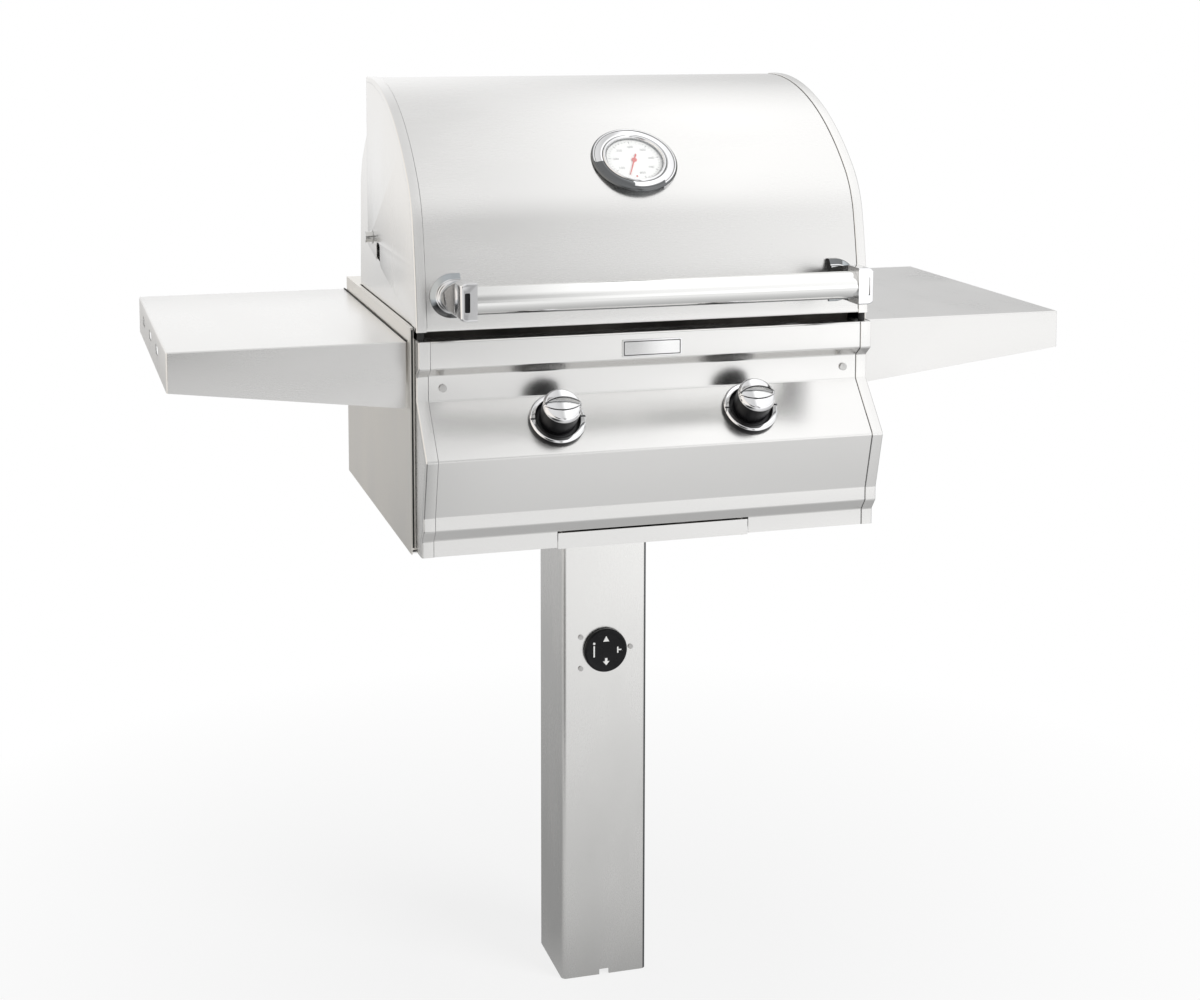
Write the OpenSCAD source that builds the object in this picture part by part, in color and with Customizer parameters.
// Gas grill on a square in-ground post: curved hood, two side shelves, a front
// panel with two gas knobs and a timer knob on the post.
// Millimetres. +Z is up and the front faces -Y. The origin is the centre of the
// post's buried foot.

/* [Post] */
// Width of the square post
post_w = 140; // [120:1:150]
// Height of the post tube
post_h = 771; // [700:1:900]
// Wall thickness of the post
post_wall = 3; // [2:0.5:4]
// Outer corner radius of the post
post_corner_r = 8; // [5:0.5:12]
// Height of the timer shaft above the foot
timer_z = 540; // [420:1:620]
// Diameter of the timer knob
timer_d = 70; // [50:1:76]

/* [Body] */
// Overall width of the body across its side panels
body_w = 697; // [680:1:760]
// Front edge of the side panels, in front of the post's axis
body_front = 277; // [272:1:284]
// Rear face of the body, behind the post's axis
body_back = 268; // [255:1:300]
// Height of the side panels
body_h = 328; // [320:1:340]
// Thickness of the sheet metal
sheet = 1.5; // [1:0.1:2]

/* [Front panel] */
// Reach of the top band in front of the post's axis
band_front = 310; // [306:1:320]
// Reach of the recess behind the band
recess_front = 294; // [290:1:300]
// Reach of the knee below the knobs
knee_front = 360; // [350:1:368]
// Reach of the low band
low_front = 336.5; // [330:0.5:342]
// Reach of the bottom lip
lip_front = 323.5; // [318:0.5:328]
// Distance of each gas knob from the middle
knob_x = 146; // [130:1:165]
// Diameter of a gas knob
knob_d = 56; // [48:1:60]

/* [Hood] */
// Radius of the long arc over the top of the hood
hood_top_r = 437; // [430:1:445]
// Radius of the hood's shoulder arc
hood_shoulder_r = 139; // [130:1:150]
// Radius of the nearly flat front of the hood
hood_front_r = 934; // [900:1:1000]
// Height of the hood above its lower edge
hood_h = 336; // [333:1:340]
// Diameter of the handle tube
handle_d = 40; // [32:1:44]
// Distance of each end of the handle tube from the hood's side
handle_inset = 63; // [58:1:83]

/* [Shelves] */
// Width of each side shelf
shelf_w = 334; // [250:1:400]
// Depth of each side shelf, front to back
shelf_depth = 543.5; // [480:0.5:560]
// Depth of the skirt at the outer end
skirt_end = 57; // [45:1:70]
// Depth of the skirt at the body
skirt_root = 97; // [85:1:105]

/* [Hidden] */

// Shared small sizes
cut = 20;                  // overrun of every through cut
seat_gap = 0.3;            // gap where a loose piece lies on its seat
run_gap = 0.05;            // radial clearance of a shaft in its bore
round_fn = 48;
fine_fn = 96;
hex_fn = 6;

// Levels, from the ground up
top_plate_t = 5;
pan_t = 2;
body_z = post_h + top_plate_t;
body_top = body_z + body_h;
pan_top = body_z + pan_t;
hood_z = body_top + sheet;
panel_half = body_w / 2;
inner_half = panel_half - sheet;
hood_half_gap = 5.5;       // the hood's ends stand in from the side panels by this
hood_half = panel_half - hood_half_gap;

// Outline of the front panel, from the band down: steps of height
band_drop = 16;            // the band starts this far below the body's top edge
band_h = 39;
band_bevel_h = 12;
recess_h = 37;
slope_h = 72;
lower_h = 85;
low_band_h = 20;
lip_bevel_h = 16;
lip_h = 24;
band_return = 26;
band_z = body_top - band_drop;
band_low_z = band_z - band_h;
recess_z = band_low_z - band_bevel_h;
slope_z = recess_z - recess_h;
knee_z = slope_z - slope_h;
low_z = knee_z - lower_h;
low_band_z = low_z - low_band_h;
lip_z = low_band_z - lip_bevel_h;
lip_end_z = lip_z - lip_h;
front_outline = [
    [-band_front, band_z], [-band_front, band_low_z], [-recess_front, recess_z],
    [-recess_front, slope_z], [-knee_front, knee_z], [-low_front, low_z],
    [-low_front, low_band_z], [-lip_front, lip_z], [-lip_front, lip_end_z]
];

// The sloped face that carries the knobs
slope_top = [-recess_front, slope_z];
slope_end = [-knee_front, knee_z];
slope_dir = (slope_end - slope_top) / norm(slope_end - slope_top);
slope_tilt = atan2(slope_h, knee_front - recess_front);
knob_down = 43;            // distance of the knob's axis down the slope
knob_point = slope_top + slope_dir * knob_down;
knob_in = [-slope_dir[1], slope_dir[0]];

// Flange strips that wrap the ends of the panel and of the hood
panel_flange_w = 17;
hood_flange_w = 15;
panel_end_back = 262;

// Hood: three tangent arcs from the flat top to the front edge
hood_flat_y = 75;
hood_back_y = 90;
hood_lip = 15;
hood_top_z = hood_z + hood_h;
top_arc_end = 45.4;
shoulder_arc_end = 75.9;
arc_steps = 14;
top_centre = [hood_flat_y, hood_top_z - hood_top_r];
shoulder_centre = top_centre
    + (hood_top_r - hood_shoulder_r) * [-sin(top_arc_end), cos(top_arc_end)];
front_centre = shoulder_centre
    + (hood_shoulder_r - hood_front_r) * [-sin(shoulder_arc_end), cos(shoulder_arc_end)];
front_arc_end = acos((hood_z - front_centre[1]) / hood_front_r);
hood_edge_y = front_centre[0] - hood_front_r * sin(front_arc_end);
hood_return = 14;
// Reach of the hood's nearly flat front at a height
function hood_reach(z) = sqrt(hood_front_r * hood_front_r - pow(z - front_centre[1], 2)) - front_centre[0];
function arc(c, r, a, b) =
    [for (i = [0:arc_steps]) let (t = a + (b - a) * i / arc_steps) c + r * [-sin(t), cos(t)]];
hood_curve = concat(
    arc(top_centre, hood_top_r, 0, top_arc_end),
    [for (i = [1:arc_steps]) arc(shoulder_centre, hood_shoulder_r, top_arc_end, shoulder_arc_end)[i]],
    [for (i = [1:arc_steps]) arc(front_centre, hood_front_r, shoulder_arc_end, front_arc_end)[i]]
);

// Hood pivot, the spit notch beside it and the slanting lower edge of the hood's ends
pivot_y = 50;
pivot_up = 90;
pivot_z = hood_z + pivot_up;
pivot_r = 6;
pivot_head_r = 8.5;
pivot_head_l = 10;
pivot_washer_r = 11;
pivot_washer_t = 1.5;
hood_heel_up = 74;
hood_toe_back = 29;
notch_w = 30;
notch_up = 86;
notch_r = 6;

// Fixed housing behind the hood
housing_t = 2;
housing_half = hood_half - sheet - seat_gap - housing_t;
housing_foot_y = 171;
housing_lip = 12;
housing_h = 272;
housing_shares = [[0.4, 1], [0.56, 0.94], [0.7, 0.865], [0.85, 0.77],
                  [0.935, 0.645], [0.965, 0.35], [1, 0]];
housing_neck = 26;
housing_neck_up = 20;
housing_cover = 3;

// Firebox
fire_side_gap = 23.5;
fire_t = 1.5;
fire_front = 262;
fire_neck = 215;
fire_back = 165;
fire_lip_drop = 6;
fire_top = body_top - fire_lip_drop;
fire_step = 98;
fire_step_h = 25;
fire_h = 193;
fire_low = fire_top - fire_h;
fire_half = panel_half - fire_side_gap;
ledge_w = 14;
ledge_t = 3;
grid_ledge_down = 30;
radiant_ledge_down = 116;
burner_ledge_y = 110;
funnel_drop = 70;
funnel_out_w = 70;
funnel_out_d = 50;
funnel_out_y = -75;
spout_h = 15;

// Cooking grids
grid_rod_r = 4;
grid_bar_r = 4.5;
grid_pitch = 22;
grid_gap = 4;
grid_z = fire_top - grid_ledge_down + grid_bar_r + seat_gap;

// Radiant trays over the burners
radiant_t = 1.5;
radiant_ridges = 5;
radiant_rise = 16;
radiant_gap = 6;

// Gas train
pipe_r = 10.7;
pipe_bore_r = 7.9;
elbow_r = 14;
elbow_l = 8;
coupling_r = 15;
coupling_h = 40;
coupling_lift = 8;
thread_r = 9.6;
thread_l = 25;
supply_z = 817;
supply_x = 60;
plate_hole_r = 14;
manifold_reach = 88;
manifold_half = 200;
manifold_boss_r = 9;
manifold_boss_l = 14;
manifold_bore_r = 4;
manifold_cap = 4;
inlet_boss_l = 24;
manifold_tab_x = 180;
manifold_tab_w = 20;
manifold_tab_t = 3;
manifold_y = knob_point[0] + manifold_reach * knob_in[0];
manifold_z = knob_point[1] + manifold_reach * knob_in[1];
valve_r = 14;
valve_top = 6;
valve_l = 46;
spigot_r = 6;
stem_r = 4;
stem_in = 24;
stem_out = 20;
stem_bore_l = 32;
orifice_depth = 40;
orifice_r = 6.5;
orifice_l = 42;
orifice_bore_r = 1;
burner_z = knob_point[1] + orifice_depth * knob_in[1];

// Burners
venturi_r = 13;
venturi_bore_r = 10.5;
venturi_front = 256;
leg_w = 34;
leg_h = 22;
leg_t = 1.5;
leg_front = 190;
leg_back = 140;
leg_spread = 62;
cross_y = -25;
port_r = 1.6;
port_pitch = 26;
ports = 12;

// Knobs and bezels
bezel_r = 41;
bezel_in_r = 32;
bezel_h = 9;
panel_hole_r = 10;
knob_lift = 6;
knob_h = 49;
knob_face_h = 45;
knob_edge = 2;
knob_wall = 4;
knob_hub_r = 9;
grip_w = 22;
grip_over = 1;             // the grip's two arcs meet this far outside the rim
knob_travel = 3;
grip_half = knob_d / 2 + grip_over;
grip_arc_r = (grip_half * grip_half + grip_w * grip_w / 4) / grip_w;

// Timer on the post
timer_t = 9;
timer_edge = 1.5;
timer_gap = 0.5;
timer_stem_l = 34;
timer_box_w = 48;
timer_box_h = 60;
timer_box_d = 44;
timer_neck_r = 12;
timer_nut_r = 15;
timer_nut_h = 10;
bracket_w = 98;
bracket_h = 70;
bracket_t = 3;
screw_r = 2;
screw_head_r = 4;
screw_head_h = 2.2;
screw_l = 8;
screw_points = [[-39.5, 23], [-39.5, -28], [42.5, 1]];
foot_notch_w = 16;
foot_notch_h = 9;

// Base plate and bolts
top_plate_w = 220;
bolt_r = 4;
bolt_head_r = 7;
bolt_head_h = 4;
bolt_spread = 92;

// Drip tray and runners
tray_w = 276;
tray_face_w = 289;
tray_face_h = 23;
tray_depth = 292;
tray_lift = 6;
tray_wall_h = 19;
tray_face_drop = 3;
tray_slot_gap = 1;
runner_t = 2;
runner_lip = 7;
runner_foot = 18;

// Pan, rear panel and vents
pan_front = 270;
vent_count = 9;
vent_w = 8;
vent_h = 90;
vent_pitch = 60;
vent_up = 120;

// Badge plate and panel screws
badge_w = 91;
badge_h = 26;
badge_t = 1.2;
badge_drop = 10;
panel_screw_in = 38;        // distance of a panel screw from the hood's side
panel_screw_x = hood_half - panel_screw_in;
panel_screw_r = 5.5;
panel_screw_h = 3;
panel_screw_shank = 2.5;
panel_screw_l = 10;

// Handle
handle_wall = 2;
handle_reach = 386;
handle_up = 50.5;
handle_z = hood_z + handle_up;
handle_end = hood_half - handle_inset;
cap_w = 23;
cap_h = 53;
cap_over = 22;             // the bracket's cap ends this far in front of the tube's axis
cap_front = handle_reach + cap_over;
cap_depth = 40;
base_r = 32;
base_w = 43;
base_drop = 6;
base_t = 9;
base_seat = 1;             // the bracket's base plane lies this far behind the hood's front
base_y = hood_reach(handle_z - base_drop) - base_seat;
bracket_bolt_r = 4;
bracket_bolt_in = 16;
bracket_bolt_l = 30;
bracket_nut_in = 8;
bracket_bolt_spread = 16;

// Thermometer in the hood
gauge_arc = 42.2;
gauge_tilt = 40;
gauge_point = top_centre + hood_top_r * [-sin(gauge_arc), cos(gauge_arc)];
gauge_r = 67.5;
gauge_top_r = 62;
gauge_ring_r = 47.5;
gauge_eye_r = 43;
gauge_can_r = 46;
gauge_can_depth = 6;
gauge_foot_r = 60;
gauge_skirt = 18;
gauge_h = 7;
gauge_rim = 2;
gauge_brim = 0.5;
gauge_slope = 1.5;
gauge_dial_t = 1;
gauge_lens_up = 4.2;
gauge_lens_t = 1.5;
probe_r = 3.5;
probe_l = 60;
probe_nut_r = 8;
probe_nut_h = 5;
needle_l = 33;
needle_tail = 13;
needle_w = 2.4;
needle_t = 0.8;
needle_hub_r = 4;
needle_pin_r = 1.2;
needle_up = 1.6;
needle_rest = 157;

// Bumpers under the hood's front corners
bumper_r = 5;
bumper_tab = 6;
bumper_back = 6.2;         // distance of a bumper behind the hood's front edge
bumper_y = -hood_edge_y - bumper_back;

// Shelves and their brackets
shelf_rim = 23;            // body's rim above the shelf tops
shelf_front = 255.5;
shelf_slot_w = 45;
shelf_slot_h = 14;
shelf_slot_pitch = 133;
shelf_slot_drop = 25;
shelf_slot_y = 48;
shelf_slots = 3;
shelf_top = body_top - shelf_rim;
shelf_root = panel_half + sheet;
shelf_end = shelf_root + shelf_w;
arm_t = 3;
arm_reach = 240;
arm_spread = 170;
arm_toe = 20;
arm_heel = 78;
bracket_flange = 30;
wall_plate_h = 90;
wall_plate_half = 240;
shelf_bolt_r = 3;
shelf_bolt_head_r = 5.5;
shelf_bolt_head_h = 3.5;
shelf_bolt_spread = 210;
shelf_bolt_rows = [20, 70];

// Straight and mitred strips of sheet metal
function unit(v) = v / norm(v);
function turn_left(v) = [-v[1], v[0]];
function edge_normal(p, i) = turn_left(unit(p[i + 1] - p[i]));
function mitre(p, i) =
    let (a = edge_normal(p, max(i - 1, 0)), b = edge_normal(p, min(i, len(p) - 2)))
    (a + b) / (1 + a * b);
function offset_path(p, t) = [for (i = [0:len(p) - 1]) p[i] + t * mitre(p, i)];
function reversed(p) = [for (i = [len(p) - 1:-1:0]) p[i]];

// A strip of thickness t to the left of the path
module strip(p, t) {
    polygon(concat(p, reversed(offset_path(p, t))));
}

// Extrudes a (y, z) outline along X between two places
module along_x(from, to) {
    translate([from, 0, 0]) rotate([90, 0, 90]) linear_extrude(to - from) children();
}

// Extrudes an (x, z) outline along Y between two places
module along_y(from, to) {
    translate([0, to, 0]) rotate([90, 0, 0]) linear_extrude(to - from) children();
}

module box(from, to) {
    translate(from) cube(to - from);
}

// Draws the right-hand shape, or mirrors it for the left side
module side(s) {
    mirror([s < 0 ? 1 : 0, 0, 0]) children();
}

// Frame of a knob: Z stands out of the sloped face
module knob_frame(s) {
    translate([s * knob_x, knob_point[0], knob_point[1]])
        rotate([slope_tilt, 0, 0]) children();
}

// Frame of the thermometer: Z stands out of its dial
module gauge_frame() {
    translate([0, gauge_point[0], gauge_point[1]]) rotate([gauge_tilt, 0, 0]) children();
}

// Frame of the timer: Z stands out of the front of the post
module timer_frame() {
    translate([0, -post_w / 2, timer_z]) rotate([90, 0, 0]) children();
}

module rod(a, b, r) {
    d = b - a;
    length = norm(d);
    translate(a) rotate([0, acos(d[2] / length), atan2(d[1], d[0])])
        cylinder(h = length, r = r, $fn = round_fn);
}

module rounded_square(w, r) {
    square([w, w - 2 * r], center = true);
    square([w - 2 * r, w], center = true);
    for (x = [-1, 1], y = [-1, 1])
        translate([x * (w / 2 - r), y * (w / 2 - r)]) circle(r = r, $fn = round_fn);
}

// Solid inside a curve that follows the hood, to seat the handle and the thermometer
module hood_solid(half, curve) {
    along_x(-half, half) polygon(concat(curve, [[hood_flat_y, hood_z]]));
}

// Post and base
module post() {
    color("silver") difference() {
        linear_extrude(post_h) difference() {
            rounded_square(post_w, post_corner_r);
            rounded_square(post_w - 2 * post_wall, post_corner_r - post_wall);
        }
        timer_frame() translate([0, 0, -post_wall - cut])
            cylinder(h = post_wall + 2 * cut, r = timer_neck_r, $fn = round_fn);
        for (p = screw_points)
            timer_frame() translate([p[0], p[1], -post_wall - cut])
                cylinder(h = post_wall + 2 * cut, r = screw_r, $fn = round_fn);
        box([-foot_notch_w / 2, -post_w / 2 - cut, -cut],
            [foot_notch_w / 2, -post_w / 2 + post_wall + seat_gap, foot_notch_h]);
    }
}

module plate_bolt_holes(z0, z1) {
    for (x = [-1, 1], y = [-1, 1])
        translate([x * bolt_spread, y * bolt_spread, z0])
            cylinder(h = z1 - z0, r = bolt_r, $fn = round_fn);
}

module post_top_plate() {
    color("silver") difference() {
        box([-top_plate_w / 2, -top_plate_w / 2, post_h],
            [top_plate_w / 2, top_plate_w / 2, body_z]);
        plate_bolt_holes(post_h - cut, body_z + cut);
        translate([0, 0, post_h - cut])
            cylinder(h = top_plate_t + 2 * cut, r = plate_hole_r, $fn = round_fn);
    }
}

module base_bolts() {
    color("gray") {
        plate_bolt_holes(post_h, pan_top);
        for (x = [-1, 1], y = [-1, 1]) translate([x * bolt_spread, y * bolt_spread, 0]) {
            translate([0, 0, post_h - bolt_head_h])
                cylinder(h = bolt_head_h, r = bolt_head_r, $fn = hex_fn);
            translate([0, 0, pan_top])
                cylinder(h = bolt_head_h, r = bolt_head_r, $fn = hex_fn);
        }
    }
}

// Timer on the post
module timer_valve() {
    color("goldenrod") difference() {
        union() {
            box([-timer_box_w / 2, -timer_box_d / 2, timer_z - timer_box_h / 2],
                [timer_box_w / 2, timer_box_d / 2, timer_z + timer_box_h / 2]);
            translate([0, 0, timer_z - timer_box_h / 2 - timer_nut_h])
                cylinder(h = timer_box_h + 2 * timer_nut_h, r = timer_nut_r, $fn = hex_fn);
            timer_frame() translate([0, 0, -post_w / 2])
                cylinder(h = post_w / 2, r = timer_neck_r, $fn = round_fn);
            box([-bracket_w / 2, -post_w / 2 + post_wall, timer_z - bracket_h / 2],
                [bracket_w / 2, -post_w / 2 + post_wall + bracket_t, timer_z + bracket_h / 2]);
        }
        timer_frame() translate([0, 0, -timer_stem_l])
            cylinder(h = timer_stem_l + cut, r = stem_r + run_gap, $fn = round_fn);
        for (p = screw_points)
            timer_frame() translate([p[0], p[1], -post_wall - bracket_t - seat_gap])
                cylinder(h = bracket_t + 2 * seat_gap, r = screw_r, $fn = round_fn);
    }
}

module timer_stem() {
    color("gray") timer_frame() translate([0, 0, -timer_stem_l + run_gap])
        cylinder(h = timer_stem_l + timer_gap + timer_t / 2 - run_gap, r = stem_r, $fn = round_fn);
}

module timer_knob() {
    color("black") timer_frame() translate([0, 0, timer_gap]) difference() {
        rotate_extrude($fn = fine_fn) polygon([
            [0, 0], [timer_d / 2 - timer_edge, 0], [timer_d / 2, timer_edge],
            [timer_d / 2, timer_t - timer_edge], [timer_d / 2 - timer_edge, timer_t],
            [0, timer_t]
        ]);
        translate([0, 0, -cut]) cylinder(h = cut + timer_t / 2, r = stem_r, $fn = round_fn);
    }
}

module post_screws() {
    color("gray") for (p = screw_points) timer_frame() translate([p[0], p[1], 0]) {
        cylinder(h = screw_head_h, r = screw_head_r, $fn = round_fn);
        translate([0, 0, -screw_l]) cylinder(h = screw_l, r = screw_r, $fn = round_fn);
    }
}

// Gas pipes
module gas_inlet_pipe() {
    color("dimgray") difference() {
        union() {
            translate([0, 0, coupling_lift]) cylinder(h = coupling_h, r = coupling_r, $fn = round_fn);
            translate([0, 0, coupling_lift + coupling_h])
                cylinder(h = timer_z - timer_box_h / 2 - timer_nut_h - coupling_lift - coupling_h,
                         r = pipe_r, $fn = round_fn);
        }
        translate([0, 0, coupling_lift - cut]) cylinder(h = cut + thread_l, r = thread_r, $fn = round_fn);
        translate([0, 0, coupling_lift]) cylinder(h = timer_z, r = pipe_bore_r, $fn = round_fn);
    }
}

function supply_path(over) = [
    [0, 0, timer_z + timer_box_h / 2 + timer_nut_h - over], [0, 0, supply_z],
    [supply_x, 0, supply_z], [supply_x, manifold_y, supply_z],
    [supply_x, manifold_y, manifold_z - inlet_boss_l + over]
];

module pipe_run(path, r) {
    for (i = [0:len(path) - 2]) rod(path[i], path[i + 1], r);
    for (i = [1:len(path) - 2]) translate(path[i]) sphere(r = r, $fn = round_fn);
}

module elbow(path, i) {
    translate(path[i]) sphere(r = elbow_r, $fn = round_fn);
    for (k = [i - 1, i + 1])
        rod(path[i], path[i] + unit(path[k] - path[i]) * (elbow_r + elbow_l), elbow_r);
}

module gas_supply_pipe() {
    color("dimgray") difference() {
        union() {
            pipe_run(supply_path(0), pipe_r);
            for (i = [1:len(supply_path(0)) - 2]) elbow(supply_path(0), i);
        }
        pipe_run(supply_path(seat_gap), pipe_bore_r);
    }
}

module manifold() {
    color("dimgray") difference() {
        union() {
            rod([-manifold_half, manifold_y, manifold_z], [manifold_half, manifold_y, manifold_z], pipe_r);
            translate([supply_x, manifold_y, manifold_z - inlet_boss_l])
                cylinder(h = inlet_boss_l, r = elbow_r, $fn = round_fn);
            for (s = [-1, 1]) {
                knob_frame(s) translate([0, 0, -manifold_reach])
                    cylinder(h = manifold_boss_l, r = manifold_boss_r, $fn = round_fn);
                side(s) box([manifold_tab_x, manifold_y, manifold_z],
                            [manifold_tab_x + manifold_tab_w, -fire_neck, manifold_z + manifold_tab_t]);
            }
        }
        rod([manifold_cap - manifold_half, manifold_y, manifold_z],
            [manifold_half - manifold_cap, manifold_y, manifold_z], pipe_bore_r);
        translate([supply_x, manifold_y, manifold_z - inlet_boss_l - cut])
            cylinder(h = inlet_boss_l + cut, r = pipe_bore_r, $fn = round_fn);
        for (s = [-1, 1]) knob_frame(s) translate([0, 0, -manifold_reach])
            cylinder(h = manifold_boss_l + cut, r = manifold_bore_r, $fn = round_fn);
    }
}

// Gas valve, in the knob's frame; its jet points straight back into the burner
module valve(s) {
    color("goldenrod") {
        difference() {
            knob_frame(s) {
                translate([0, 0, -valve_top - valve_l]) cylinder(h = valve_l, r = valve_r, $fn = round_fn);
                translate([0, 0, manifold_boss_l - manifold_reach])
                    cylinder(h = manifold_reach - manifold_boss_l - valve_top - valve_l,
                             r = spigot_r, $fn = round_fn);
            }
            knob_frame(s) translate([0, 0, -stem_bore_l])
                cylinder(h = stem_bore_l, r = stem_r + run_gap, $fn = round_fn);
        }
        difference() {
            rod([s * knob_x, knob_point[0] + orifice_depth * knob_in[0] + valve_r - seat_gap, burner_z],
                [s * knob_x, knob_point[0] + orifice_depth * knob_in[0] + orifice_l, burner_z], orifice_r);
            rod([s * knob_x, knob_point[0] + orifice_depth * knob_in[0] + valve_r, burner_z],
                [s * knob_x, knob_point[0] + orifice_depth * knob_in[0] + orifice_l + cut, burner_z],
                orifice_bore_r);
        }
    }
}

module valve_left() { valve(-1); }
module valve_right() { valve(1); }

module valve_stem(s) {
    color("gray") knob_frame(s) translate([0, 0, -stem_in])
        cylinder(h = stem_in + stem_out, r = stem_r, $fn = round_fn);
}

module valve_stem_left() { valve_stem(-1); }
module valve_stem_right() { valve_stem(1); }

// Gas knob: a round skirt whose face is cut away on both sides of a lens-shaped grip
module knob(s) {
    color("gainsboro") knob_frame(s) difference() {
        translate([0, 0, knob_lift]) rotate_extrude($fn = fine_fn) polygon([
            [0, 0], [knob_d / 2, 0], [knob_d / 2, knob_h - knob_lift - knob_edge],
            [knob_d / 2 - knob_edge, knob_h - knob_lift], [0, knob_h - knob_lift]
        ]);
        for (m = [-1, 1]) translate([0, 0, knob_face_h]) difference() {
            translate([-knob_d, m > 0 ? 0 : -knob_d, 0]) cube([2 * knob_d, knob_d, cut]);
            translate([0, m * (grip_w / 2 - grip_arc_r), -cut])
                cylinder(h = 3 * cut, r = grip_arc_r, $fn = fine_fn * 2);
        }
        translate([0, 0, -cut])
            cylinder(h = cut + stem_out + knob_travel, r = stem_r + run_gap, $fn = round_fn);
        rotate_extrude($fn = fine_fn) polygon([
            [knob_hub_r, 0], [knob_d / 2 - knob_wall, 0],
            [knob_d / 2 - knob_wall, knob_face_h - knob_wall], [knob_hub_r, knob_face_h - knob_wall]
        ]);
    }
}

module knob_left() { knob(-1); }
module knob_right() { knob(1); }

module knob_bezel(s) {
    color("gainsboro") knob_frame(s) difference() {
        cylinder(h = bezel_h, r1 = bezel_r, r2 = bezel_r - knob_edge, $fn = fine_fn);
        translate([0, 0, -cut]) cylinder(h = 2 * cut, r = bezel_in_r, $fn = fine_fn);
    }
}

module knob_bezel_left() { knob_bezel(-1); }
module knob_bezel_right() { knob_bezel(1); }

// Body panels
module bottom_pan() {
    color("silver") difference() {
        box([-inner_half, -pan_front, body_z], [inner_half, body_back - sheet, pan_top]);
        plate_bolt_holes(body_z - cut, pan_top + cut);
        translate([0, 0, body_z - cut]) cylinder(h = pan_t + 2 * cut, r = plate_hole_r, $fn = round_fn);
    }
}

module shelf_bolt_places() {
    for (y = [-1, 0, 1], drop = shelf_bolt_rows)
        translate([0, y * shelf_bolt_spread, shelf_top - drop]) children();
}

module side_panel(s) {
    color("silver") side(s) difference() {
        union() {
            box([inner_half, -body_front, body_z], [panel_half, body_back, body_top]);
            box([hood_half, -body_front, body_top - sheet], [inner_half, body_back, body_top]);
            box([hood_half, -body_front, lip_end_z], [inner_half, -body_front + sheet, body_top]);
            box([hood_half, body_back - sheet, body_z], [inner_half, body_back, body_top]);
        }
        shelf_bolt_places() rod([inner_half - cut, 0, 0], [panel_half + cut, 0, 0], shelf_bolt_r);
    }
}

module side_panel_left() { side_panel(-1); }
module side_panel_right() { side_panel(1); }

module rear_panel() {
    color("silver") difference() {
        along_x(-hood_half, hood_half)
            strip([[body_back, body_z], [body_back, body_top], [housing_foot_y, body_top]], sheet);
        for (i = [0:vent_count - 1])
            box([(i - (vent_count - 1) / 2) * vent_pitch - vent_w / 2, body_back - cut, body_z + vent_up],
                [(i - (vent_count - 1) / 2) * vent_pitch + vent_w / 2, body_back + cut,
                 body_z + vent_up + vent_h]);
    }
}

module front_panel() {
    color("silver") difference() {
        along_x(-hood_half + sheet, hood_half - sheet)
            strip(concat([[band_return - band_front, band_z]], front_outline), sheet);
        box([-tray_face_w / 2 - tray_slot_gap, -lip_front - cut, lip_end_z - cut],
            [tray_face_w / 2 + tray_slot_gap, -lip_front + cut, lip_z]);
        for (s = [-1, 1]) {
            knob_frame(s) translate([0, 0, -cut])
                cylinder(h = 2 * cut, r = panel_hole_r, $fn = round_fn);
            translate([s * panel_screw_x, -recess_front, slope_z + recess_h / 2])
                rotate([90, 0, 0]) translate([0, 0, -cut])
                    cylinder(h = 2 * cut, r = panel_screw_shank, $fn = round_fn);
        }
    }
}

module panel_end(s) {
    color("silver") side(s) {
        along_x(hood_half - sheet, hood_half)
            polygon(concat(front_outline, [[-panel_end_back, lip_end_z], [-panel_end_back, band_z]]));
        along_x(hood_half - panel_flange_w, hood_half) strip(reversed(front_outline), sheet);
    }
}

module panel_end_left() { panel_end(-1); }
module panel_end_right() { panel_end(1); }

module panel_screws() {
    color("gray") for (s = [-1, 1])
        translate([s * panel_screw_x, -recess_front, slope_z + recess_h / 2]) rotate([90, 0, 0]) {
            cylinder(h = panel_screw_h, r = panel_screw_r, $fn = round_fn);
            translate([0, 0, -panel_screw_l])
                cylinder(h = panel_screw_l, r = panel_screw_shank, $fn = round_fn);
        }
}

module badge_plate() {
    color("gainsboro") box([-badge_w / 2, -band_front - badge_t, band_z - badge_drop - badge_h],
                           [badge_w / 2, -band_front, band_z - badge_drop]);
}

// Firebox
fire_front_outline = [
    [-fire_front, fire_top], [-fire_front, fire_top - fire_step],
    [-fire_neck, fire_top - fire_step - fire_step_h], [-fire_neck, fire_low]
];

module fire_ledge(y0, y1, z) {
    box([-fire_half + fire_t, y0, z - ledge_t], [fire_half - fire_t, y1, z]);
}

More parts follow.
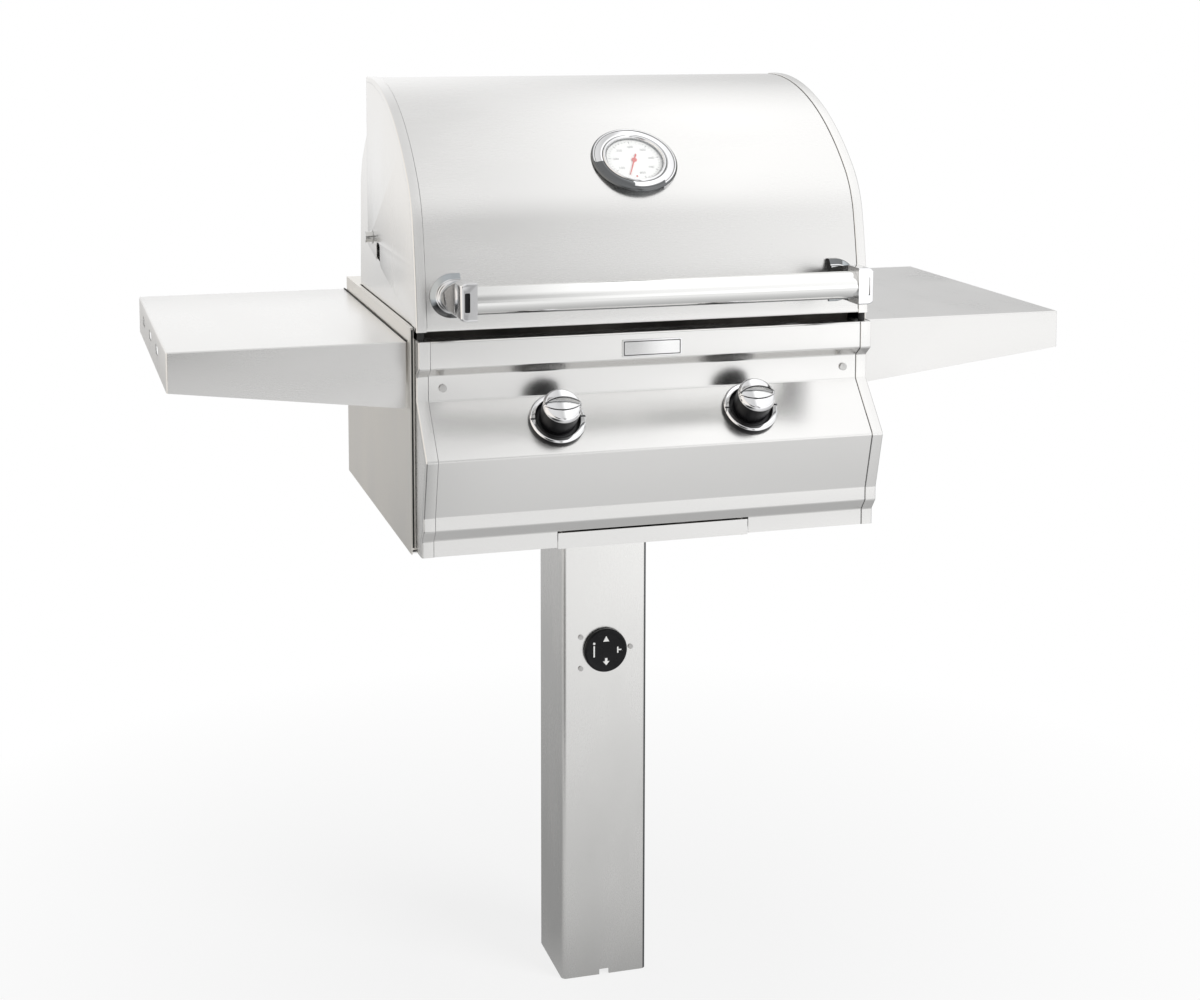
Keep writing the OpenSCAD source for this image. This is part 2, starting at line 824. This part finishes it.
module firebox() {
    color("lightgray") difference() {
        union() {
            along_x(-fire_half, fire_half) strip(fire_front_outline, fire_t);
            box([-fire_half, fire_back - fire_t, fire_low], [fire_half, fire_back, fire_top]);
            for (s = [-1, 1]) side(s) {
                along_x(fire_half - fire_t, fire_half)
                    polygon(concat(fire_front_outline, [[fire_back, fire_low], [fire_back, fire_top]]));
                box([fire_half, -fire_front, fire_top - fire_t], [inner_half, fire_back, fire_top]);
            }
            box([-fire_half, fire_back, fire_top - fire_t], [fire_half, housing_foot_y, fire_top]);
            fire_ledge(-fire_front + fire_t, -fire_front + fire_t + ledge_w, fire_top - grid_ledge_down);
            fire_ledge(fire_back - fire_t - ledge_w, fire_back - fire_t, fire_top - grid_ledge_down);
            fire_ledge(-fire_neck + fire_t, -fire_neck + fire_t + ledge_w, fire_top - radiant_ledge_down);
            fire_ledge(fire_back - fire_t - ledge_w, fire_back - fire_t, fire_top - radiant_ledge_down);
            fire_ledge(burner_ledge_y, burner_ledge_y + ledge_w, burner_z - leg_h / 2 - seat_gap);
        }
        for (s = [-1, 1])
            rod([s * knob_x, -fire_neck - cut, burner_z], [s * knob_x, -fire_neck + cut, burner_z],
                venturi_r + seat_gap);
    }
}

module funnel_solid(inset) {
    hull() {
        box([-fire_half + inset, -fire_neck + inset, fire_low - seat_gap],
            [fire_half - inset, fire_back - inset, fire_low]);
        box([-funnel_out_w / 2 + inset, funnel_out_y - funnel_out_d / 2 + inset,
             fire_low - funnel_drop - seat_gap],
            [funnel_out_w / 2 - inset, funnel_out_y + funnel_out_d / 2 - inset, fire_low - funnel_drop]);
    }
}

module grease_funnel() {
    color("lightgray") difference() {
        union() {
            funnel_solid(0);
            box([-funnel_out_w / 2, funnel_out_y - funnel_out_d / 2, fire_low - funnel_drop - spout_h],
                [funnel_out_w / 2, funnel_out_y + funnel_out_d / 2, fire_low - funnel_drop]);
        }
        translate([0, 0, seat_gap]) funnel_solid(fire_t);
        translate([0, 0, -seat_gap / 2]) funnel_solid(fire_t);
        box([-funnel_out_w / 2 + fire_t, funnel_out_y - funnel_out_d / 2 + fire_t,
             fire_low - funnel_drop - spout_h - cut],
            [funnel_out_w / 2 - fire_t, funnel_out_y + funnel_out_d / 2 - fire_t,
             fire_low - funnel_drop + fire_t]);
    }
}

module burner_tubes(inset) {
    half_w = leg_w / 2 - inset;
    half_h = leg_h / 2 - inset;
    for (m = [-1, 1])
        box([m * leg_spread - half_w, inset - leg_front, burner_z - half_h],
            [m * leg_spread + half_w, leg_back - inset, burner_z + half_h]);
    box([-leg_spread, cross_y - half_w, burner_z - half_h],
        [leg_spread, cross_y + half_w, burner_z + half_h]);
}

// Two legs joined across the middle, fed by a venturi, with a row of ports on each leg
module burner(s) {
    color("lightgray") translate([s * knob_x, 0, 0]) difference() {
        union() {
            burner_tubes(0);
            rod([0, -venturi_front, burner_z], [0, cross_y, burner_z], venturi_r);
        }
        burner_tubes(leg_t);
        rod([0, -venturi_front - cut, burner_z], [0, cross_y, burner_z], venturi_bore_r);
        for (m = [-1, 1], i = [0:ports - 1])
            translate([m * leg_spread, (leg_back - leg_front) / 2 + (i - (ports - 1) / 2) * port_pitch,
                       burner_z])
                cylinder(h = leg_h, r = port_r, $fn = round_fn / 4);
    }
}

module burner_left() { burner(-1); }
module burner_right() { burner(1); }

// A corrugated sheet that shields the burners and spreads the heat
radiant_from = radiant_gap / 2;
radiant_to = fire_half - fire_t - radiant_gap;
radiant_z = fire_top - radiant_ledge_down + seat_gap;
radiant_path = [
    for (i = [0:2 * radiant_ridges])
        [radiant_from + (radiant_to - radiant_from) * i / (2 * radiant_ridges),
         radiant_z + radiant_t + (i % 2) * radiant_rise]
];

module radiant(s) {
    color("gray") side(s) along_y(-fire_neck + fire_t + seat_gap, fire_back - fire_t - seat_gap)
        strip(reversed(radiant_path), radiant_t);
}

module radiant_left() { radiant(-1); }
module radiant_right() { radiant(1); }

module cooking_grid(s) {
    first = grid_gap / 2 + grid_rod_r;
    last = fire_half - fire_t - grid_gap - grid_rod_r;
    count = floor((last - first) / grid_pitch);
    pitch = (last - first) / count;
    y0 = -fire_front + fire_t + grid_gap;
    y1 = fire_back - fire_t - grid_gap;
    color("lightgray") side(s) {
        for (i = [0:count])
            rod([first + i * pitch, y0, grid_z + grid_rod_r], [first + i * pitch, y1, grid_z + grid_rod_r],
                grid_rod_r);
        for (y = [y0 + grid_bar_r, (y0 + y1) / 2, y1 - grid_bar_r])
            rod([first - grid_rod_r, y, grid_z], [last + grid_rod_r, y, grid_z], grid_bar_r);
    }
}

module cooking_grid_left() { cooking_grid(-1); }
module cooking_grid_right() { cooking_grid(1); }

// Drip tray on its runners
tray_z = pan_top + tray_lift;
tray_front_y = -lip_front + sheet;

module drip_tray() {
    color("silver") {
        difference() {
            box([-tray_w / 2, tray_front_y, tray_z],
                [tray_w / 2, tray_front_y + tray_depth, tray_z + tray_wall_h]);
            box([-tray_w / 2 + sheet, tray_front_y + sheet, tray_z + sheet],
                [tray_w / 2 - sheet, tray_front_y + tray_depth - sheet, tray_z + tray_wall_h + cut]);
        }
        box([-tray_face_w / 2, -lip_front, lip_z - tray_face_drop - tray_face_h],
            [tray_face_w / 2, tray_front_y, lip_z - tray_face_drop]);
    }
}

module tray_runners() {
    wall_x = tray_w / 2 + seat_gap;
    y0 = tray_front_y + runner_lip;
    y1 = tray_front_y + tray_depth;
    foot_z = tray_z - seat_gap;
    lip_low = tray_z + tray_wall_h + seat_gap;
    color("gray") for (s = [-1, 1]) side(s) {
        box([wall_x, y0, pan_top], [wall_x + runner_t, y1, lip_low + runner_t]);
        box([wall_x - runner_foot, y0, foot_z - runner_t], [wall_x + runner_t, y1, foot_z]);
        box([wall_x - runner_lip, y0, lip_low], [wall_x + runner_t, y1, lip_low + runner_t]);
    }
}

// Fixed housing behind the hood
housing_curve = [for (p = housing_shares) [p[0] * housing_foot_y, fire_top + p[1] * housing_h]];

module rear_housing() {
    color("silver") difference() {
        along_x(-housing_half, housing_half)
            strip(reversed(concat([housing_curve[0] - [housing_lip, housing_lip]], housing_curve)), sheet);
        box([-housing_half - cut, housing_foot_y - cut, fire_top - cut],
            [housing_half + cut, housing_foot_y + cut, fire_top]);
    }
}

// Height of the slanting lower edge of the hood's ends
function hood_edge(y) =
    let (toe_y = hood_edge_y + hood_toe_back)
    hood_z + hood_heel_up * (y - toe_y) / (hood_back_y - toe_y);

module housing_end(s) {
    y0 = fire_t - fire_front;
    y1 = notch_w / 2;
    color("silver") side(s) difference() {
        along_x(housing_half, housing_half + housing_t) polygon(concat(
            [[y0, fire_top], [y0, hood_edge(y0) + housing_cover], [y1, hood_edge(y1) + housing_cover],
             [pivot_y - housing_neck, pivot_z + housing_neck_up]],
            housing_curve
        ));
        translate([0, pivot_y, pivot_z]) rod([housing_half - cut, 0, 0], [hood_half + cut, 0, 0], pivot_r);
    }
}

module housing_end_left() { housing_end(-1); }
module housing_end_right() { housing_end(1); }

module pivot_bolts() {
    color("gray") for (s = [-1, 1]) side(s) translate([0, pivot_y, pivot_z]) {
        rod([housing_half - pivot_head_l, 0, 0], [hood_half + pivot_washer_t, 0, 0], pivot_r);
        rod([housing_half - pivot_head_l, 0, 0], [housing_half, 0, 0], pivot_head_r);
        rod([hood_half + seat_gap, 0, 0], [hood_half + pivot_washer_t, 0, 0], pivot_washer_r);
        rod([hood_half + pivot_washer_t, 0, 0], [hood_half + pivot_washer_t + pivot_head_l, 0, 0],
            pivot_head_r);
    }
}

// Hood
module bracket_bolt_places(s) {
    for (m = [-1, 1])
        translate([s * (handle_end + bracket_bolt_in), 0, handle_z - base_drop + m * bracket_bolt_spread])
            children();
}

module hood_skin() {
    color("silver") difference() {
        along_x(-hood_half + sheet, hood_half - sheet) strip(concat(
            [[hood_back_y, hood_top_z - hood_lip], [hood_back_y, hood_top_z]],
            hood_curve,
            [[hood_edge_y, hood_z - bumper_tab], [hood_edge_y + hood_return, hood_z - bumper_tab]]
        ), sheet);
        for (s = [-1, 1]) side(s)
            box([hood_half - hood_flange_w, hood_edge_y - cut, hood_z - cut],
                [hood_half + cut, hood_edge_y + cut, hood_z]);
        gauge_frame() translate([0, 0, -cut])
            cylinder(h = 2 * cut, r = gauge_can_r + seat_gap, $fn = fine_fn);
        for (s = [-1, 1]) bracket_bolt_places(s)
            rod([0, -base_y - cut, 0], [0, -base_y + cut, 0], bracket_bolt_r);
    }
}

module hood_end(s) {
    color("silver") side(s) {
        difference() {
            along_x(hood_half - sheet, hood_half) polygon(concat(
                hood_curve,
                [[hood_edge_y + hood_toe_back, hood_z], [hood_back_y, hood_edge(hood_back_y)],
                 [hood_back_y, hood_top_z]]
            ));
            translate([0, pivot_y, pivot_z])
                rod([hood_half - cut, 0, 0], [hood_half + cut, 0, 0], pivot_r + run_gap);
            box([hood_half - cut, -notch_w / 2, hood_z],
                [hood_half + cut, notch_w / 2, hood_z + notch_up - notch_r]);
            box([hood_half - cut, -notch_w / 2 + notch_r, hood_z],
                [hood_half + cut, notch_w / 2 - notch_r, hood_z + notch_up]);
            for (m = [-1, 1]) translate([0, m * (notch_w / 2 - notch_r), hood_z + notch_up - notch_r])
                rod([hood_half - cut, 0, 0], [hood_half + cut, 0, 0], notch_r);
        }
        along_x(hood_half - hood_flange_w, hood_half) strip(reversed(concat(
            [[hood_back_y, hood_top_z]], hood_curve, [[hood_edge_y, hood_z - bumper_tab]]
        )), sheet);
        box([hood_half - hood_flange_w, hood_edge_y, hood_z - bumper_tab],
            [hood_half, hood_edge_y + hood_return, hood_z]);
    }
}

module hood_end_left() { hood_end(-1); }
module hood_end_right() { hood_end(1); }

module hood_bumpers() {
    color("dimgray") for (s = [-1, 1]) side(s)
        translate([hood_half - hood_flange_w / 2, -bumper_y, band_z + seat_gap])
            cylinder(h = hood_z - bumper_tab - band_z - seat_gap, r = bumper_r, $fn = round_fn);
}

// Handle
module handle_tube() {
    color("silver") difference() {
        rod([-handle_end, -handle_reach, handle_z], [handle_end, -handle_reach, handle_z], handle_d / 2);
        rod([-handle_end - cut, -handle_reach, handle_z], [handle_end + cut, -handle_reach, handle_z],
            handle_d / 2 - handle_wall);
    }
}

module bracket_base_outline(grow) {
    intersection() {
        union() {
            translate([base_w - base_r, -base_drop]) circle(r = base_r + grow, $fn = round_fn);
            translate([0, -base_drop - base_r - grow])
                square([base_w - base_r, 2 * base_r + 2 * grow]);
        }
        translate([0, -2 * base_r]) square([2 * base_r, 4 * base_r]);
    }
}

module handle_bracket(s) {
    color("gainsboro") side(s) difference() {
        translate([handle_end, 0, handle_z]) union() {
            along_y(-base_y - base_t, -base_y + cut) bracket_base_outline(0);
            hull() {
                along_y(-base_y - base_t, -base_y) bracket_base_outline(-base_t / 2);
                box([0, -cap_front + cap_depth / 2, -cap_h / 2], [cap_w, -cap_front + cap_depth, cap_h / 2]);
            }
            hull() {
                box([0, -cap_front + base_t / 2, -cap_h / 2],
                    [cap_w - base_t / 2, -cap_front + cap_depth, cap_h / 2]);
                box([0, -cap_front, -cap_h / 2 + base_t / 4],
                    [cap_w - base_t / 2, -cap_front + cap_depth, cap_h / 2 - base_t / 4]);
                box([0, -cap_front + base_t, -cap_h / 2 + base_t / 4],
                    [cap_w, -cap_front + cap_depth, cap_h / 2 - base_t / 4]);
            }
        }
        hood_solid(hood_half, hood_curve);
        bracket_bolt_places(1)
            rod([0, -base_y - bracket_bolt_l / 2, 0], [0, -base_y + cut, 0], bracket_bolt_r);
    }
}

module handle_bracket_left() { handle_bracket(-1); }
module handle_bracket_right() { handle_bracket(1); }

module handle_bolts() {
    tip = -base_y - bracket_bolt_l / 2;
    color("gray") {
        for (s = [-1, 1]) bracket_bolt_places(s)
            rod([0, tip, 0], [0, tip + bracket_bolt_l, 0], bracket_bolt_r);
        intersection() {
            for (s = [-1, 1]) bracket_bolt_places(s)
                rod([0, tip, 0], [0, -base_y + bracket_nut_in, 0], 2 * bracket_bolt_r);
            hood_solid(hood_half, offset_path(hood_curve, sheet));
        }
    }
}

// Thermometer: a flanged rim on the hood, with a can that passes through the hood's round hole
module gauge_bezel() {
    color("gainsboro") {
        difference() {
            gauge_frame() rotate_extrude($fn = fine_fn) polygon([
                [gauge_eye_r, -gauge_skirt], [gauge_foot_r, -gauge_skirt], [gauge_r, gauge_brim],
                [gauge_top_r, gauge_h - gauge_rim], [gauge_ring_r, gauge_h - gauge_slope],
                [gauge_eye_r, gauge_h]
            ]);
            hood_solid(2 * gauge_r, hood_curve);
        }
        gauge_frame() rotate_extrude($fn = fine_fn) polygon([
            [probe_r, -gauge_can_depth], [gauge_can_r, -gauge_can_depth], [gauge_can_r, gauge_h - gauge_rim],
            [gauge_eye_r, gauge_h - gauge_rim], [gauge_eye_r, 0], [probe_r, 0]
        ]);
    }
}

module gauge_dial() {
    color("white") gauge_frame() difference() {
        cylinder(h = gauge_dial_t, r = gauge_eye_r - seat_gap, $fn = fine_fn);
        translate([0, 0, -cut]) cylinder(h = 2 * cut, r = needle_pin_r + run_gap, $fn = round_fn);
    }
}

module gauge_lens() {
    color("lightcyan", 0.4) gauge_frame() translate([0, 0, gauge_lens_up])
        cylinder(h = gauge_lens_t, r = gauge_eye_r, $fn = fine_fn);
}

module gauge_needle() {
    color("firebrick") gauge_frame() {
        translate([0, 0, -gauge_dial_t])
            cylinder(h = gauge_dial_t + needle_up + 2 * needle_t, r = needle_pin_r, $fn = round_fn);
        translate([0, 0, needle_up]) {
            cylinder(h = needle_t, r = needle_hub_r, $fn = round_fn);
            rotate([0, 0, needle_rest]) linear_extrude(needle_t) polygon([
                [-needle_w / 2, -needle_tail], [needle_w / 2, -needle_tail],
                [needle_w / 4, needle_l], [-needle_w / 4, needle_l]
            ]);
        }
    }
}

module gauge_stem() {
    color("gray") gauge_frame() difference() {
        union() {
            translate([0, 0, -probe_l]) cylinder(h = probe_l, r = probe_r, $fn = round_fn);
            translate([0, 0, -gauge_can_depth - probe_nut_h])
                cylinder(h = probe_nut_h, r = probe_nut_r, $fn = hex_fn);
        }
        translate([0, 0, -2 * gauge_dial_t])
            cylinder(h = cut, r = needle_pin_r + run_gap, $fn = round_fn);
    }
}

// Side shelves
module shelf(s) {
    color("silver") side(s) difference() {
        along_y(-shelf_front, shelf_depth - shelf_front) polygon([
            [shelf_root, shelf_top], [shelf_end, shelf_top],
            [shelf_end, shelf_top - skirt_end], [shelf_root, shelf_top - skirt_root]
        ]);
        box([shelf_root - cut, -shelf_front + sheet, shelf_top - 2 * skirt_root],
            [shelf_end - sheet, shelf_depth - shelf_front - sheet, shelf_top - sheet]);
        for (i = [0:shelf_slots - 1]) {
            y = shelf_slot_y + (i - (shelf_slots - 1) / 2) * shelf_slot_pitch;
            reach = (shelf_slot_w - shelf_slot_h) / 2;
            z = shelf_top - shelf_slot_drop;
            box([shelf_end - cut, y - reach, z - shelf_slot_h / 2],
                [shelf_end + cut, y + reach, z + shelf_slot_h / 2]);
            for (m = [-1, 1])
                rod([shelf_end - cut, y + m * reach, z], [shelf_end + cut, y + m * reach, z],
                    shelf_slot_h / 2);
        }
    }
}

module shelf_left() { shelf(-1); }
module shelf_right() { shelf(1); }

module shelf_bracket(s) {
    under = shelf_top - sheet;
    color("gray") side(s) difference() {
        union() {
            box([panel_half, -wall_plate_half, under - wall_plate_h], [shelf_root, wall_plate_half, under]);
            box([shelf_root, -wall_plate_half, under - sheet],
                [shelf_root + bracket_flange, wall_plate_half, under]);
            for (m = [-1, 1]) {
                y = m * arm_spread;
                along_y(y - arm_t / 2, y + arm_t / 2) polygon([
                    [shelf_root, under], [shelf_root + arm_reach, under],
                    [shelf_root + arm_reach, under - arm_toe], [shelf_root, under - arm_heel]
                ]);
            }
        }
        shelf_bolt_places() rod([panel_half - cut, 0, 0], [shelf_root + cut, 0, 0], shelf_bolt_r);
    }
}

module shelf_bracket_left() { shelf_bracket(-1); }
module shelf_bracket_right() { shelf_bracket(1); }

module shelf_bolts() {
    color("gray") for (s = [-1, 1]) side(s) shelf_bolt_places() {
        rod([inner_half - shelf_bolt_head_h, 0, 0], [shelf_root + shelf_bolt_head_h, 0, 0], shelf_bolt_r);
        rod([inner_half - shelf_bolt_head_h, 0, 0], [inner_half, 0, 0], shelf_bolt_head_r);
        rod([shelf_root, 0, 0], [shelf_root + shelf_bolt_head_h, 0, 0], shelf_bolt_head_r);
    }
}

post();
post_top_plate();
base_bolts();
timer_valve();
timer_knob();
timer_stem();
post_screws();
gas_inlet_pipe();
gas_supply_pipe();
bottom_pan();
side_panel_left();
side_panel_right();
rear_panel();
front_panel();
panel_end_left();
panel_end_right();
panel_screws();
badge_plate();
firebox();
grease_funnel();
drip_tray();
tray_runners();
manifold();
valve_left();
valve_right();
valve_stem_left();
valve_stem_right();
knob_left();
knob_right();
knob_bezel_left();
knob_bezel_right();
burner_left();
burner_right();
radiant_left();
radiant_right();
cooking_grid_left();
cooking_grid_right();
rear_housing();
housing_end_left();
housing_end_right();
pivot_bolts();
hood_skin();
hood_end_left();
hood_end_right();
hood_bumpers();
handle_tube();
handle_bracket_left();
handle_bracket_right();
handle_bolts();
gauge_bezel();
gauge_dial();
gauge_lens();
gauge_needle();
gauge_stem();
shelf_left();
shelf_right();
shelf_bracket_left();
shelf_bracket_right();
shelf_bolts();
